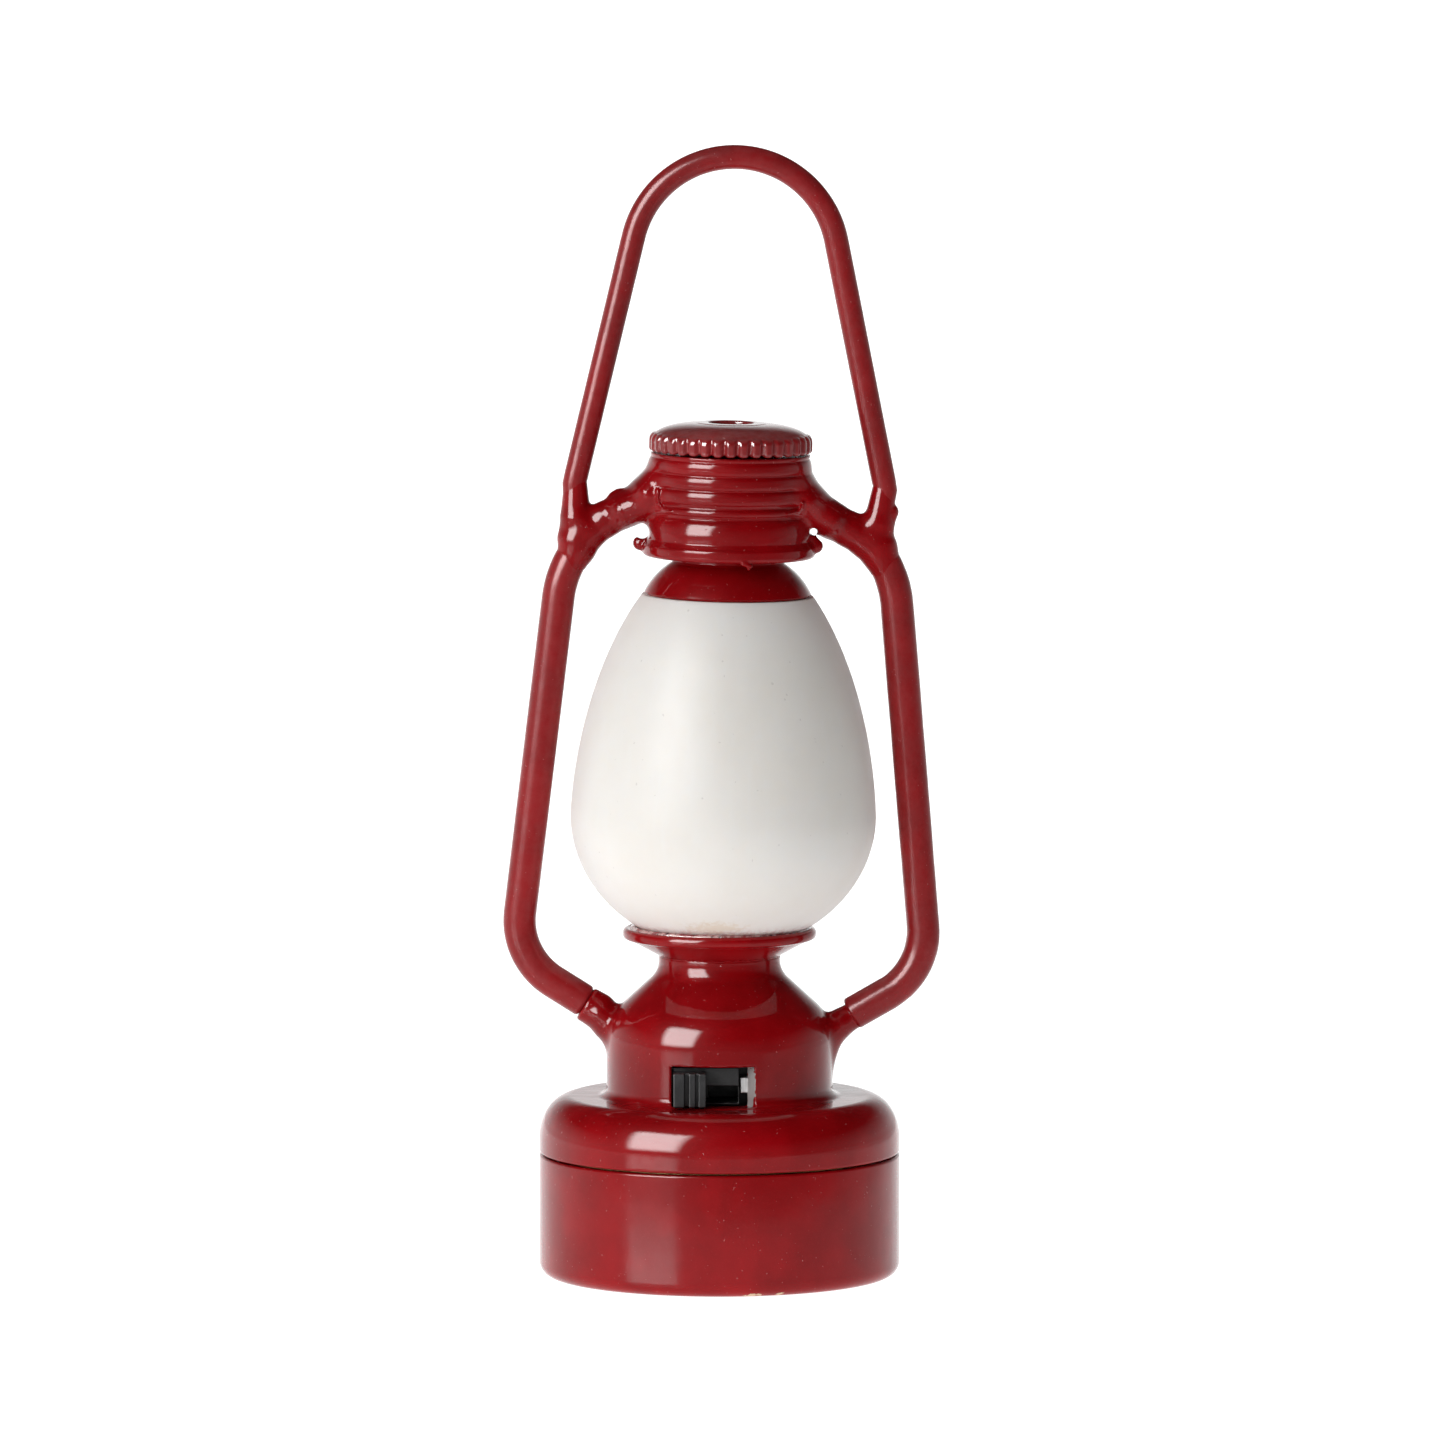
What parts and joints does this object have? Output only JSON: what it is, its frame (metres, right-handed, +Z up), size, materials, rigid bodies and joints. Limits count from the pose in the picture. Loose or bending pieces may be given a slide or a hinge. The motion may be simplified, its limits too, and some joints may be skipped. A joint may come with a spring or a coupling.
{
  "type": "oil lamp",
  "caption": "Miniature hurricane lantern with a frosted globe, wire bail, LED, slide switch and screw-on battery cover.",
  "frame": {"origin": "centre of the battery cover's underside, on the surface that the lantern stands on", "axes": "+Z up, the switch window faces -Y, the two struts and the bail lie in the XZ plane"},
  "size_m": [0.027, 0.0222, 0.07],
  "materials": {
    "red_enamel": "gloss enamel over cast and wire metal",
    "red_satin": "slightly satin enamel, fine orange peel",
    "opal_glass": "frosted opal white, satin",
    "steel": "bare steel",
    "brass": "turned brass",
    "cell_steel": "bright nickel-plated steel",
    "black_plastic": "moulded black plastic",
    "white_plastic": "moulded white plastic",
    "board": "glass-fibre board with green resist",
    "gasket": "black sealing gasket",
    "red_wire": "red insulated wire",
    "black_wire": "black insulated wire",
    "lamp_epoxy": "warm white diffused lamp body",
    "adhesive": "clear amber adhesive"
  },
  "bodies": {
    "lantern": {"base_body": "red_enamel", "threaded_ring": "brass", "contact_board": "board", "positive_contact": "brass", "board_screws": "steel", "resistor": "black_plastic", "switch_housing": "black_plastic", "switch_frame": "steel", "switch_terminals": "steel", "feed_wire": "red_wire", "lamp_wire": "red_wire", "return_wire": "black_wire", "led_holder": "white_plastic", "led_lens": "lamp_epoxy", "led_leads": "steel", "globe": "opal_glass", "globe_seal": "adhesive", "globe_crown": "red_enamel", "collar": "red_enamel", "cap_eyelet": "red_satin", "chimney_cap": "red_satin", "left_strut": "red_enamel", "right_strut": "red_enamel", "bail_handle": "red_enamel"},
    "switch_slider": {"switch_lever": "black_plastic", "switch_wiper": "brass"},
    "cell_pack": {"cell_sleeve": "white_plastic", "cell_can": "cell_steel", "cell_gasket": "gasket", "cell_cap": "cell_steel"},
    "cover": {"battery_cover": "red_satin", "contact_plate": "brass", "contact_spring": "steel"}
  },
  "joints": [
    {"name": "switch_slide", "type": "slide", "parent": "lantern", "child": "switch_slider", "axis": [1, 0, 0], "range_m": [0, 0.002]},
    {"name": "cover_travel", "type": "slide", "parent": "lantern", "child": "cell_pack", "axis": [0, 0, -1], "range_m": [0, 0.0036]},
    {"name": "cover_turn", "type": "hinge", "parent": "cell_pack", "child": "cover", "pos_m": [0, 0, 0], "axis": [0, 0, -1], "range_deg": [0, 1080]}
  ],
  "couplings": [
    {"joint": "cover_travel", "follows": "cover_turn", "m_per_rad": 0.00019098}
  ]
}
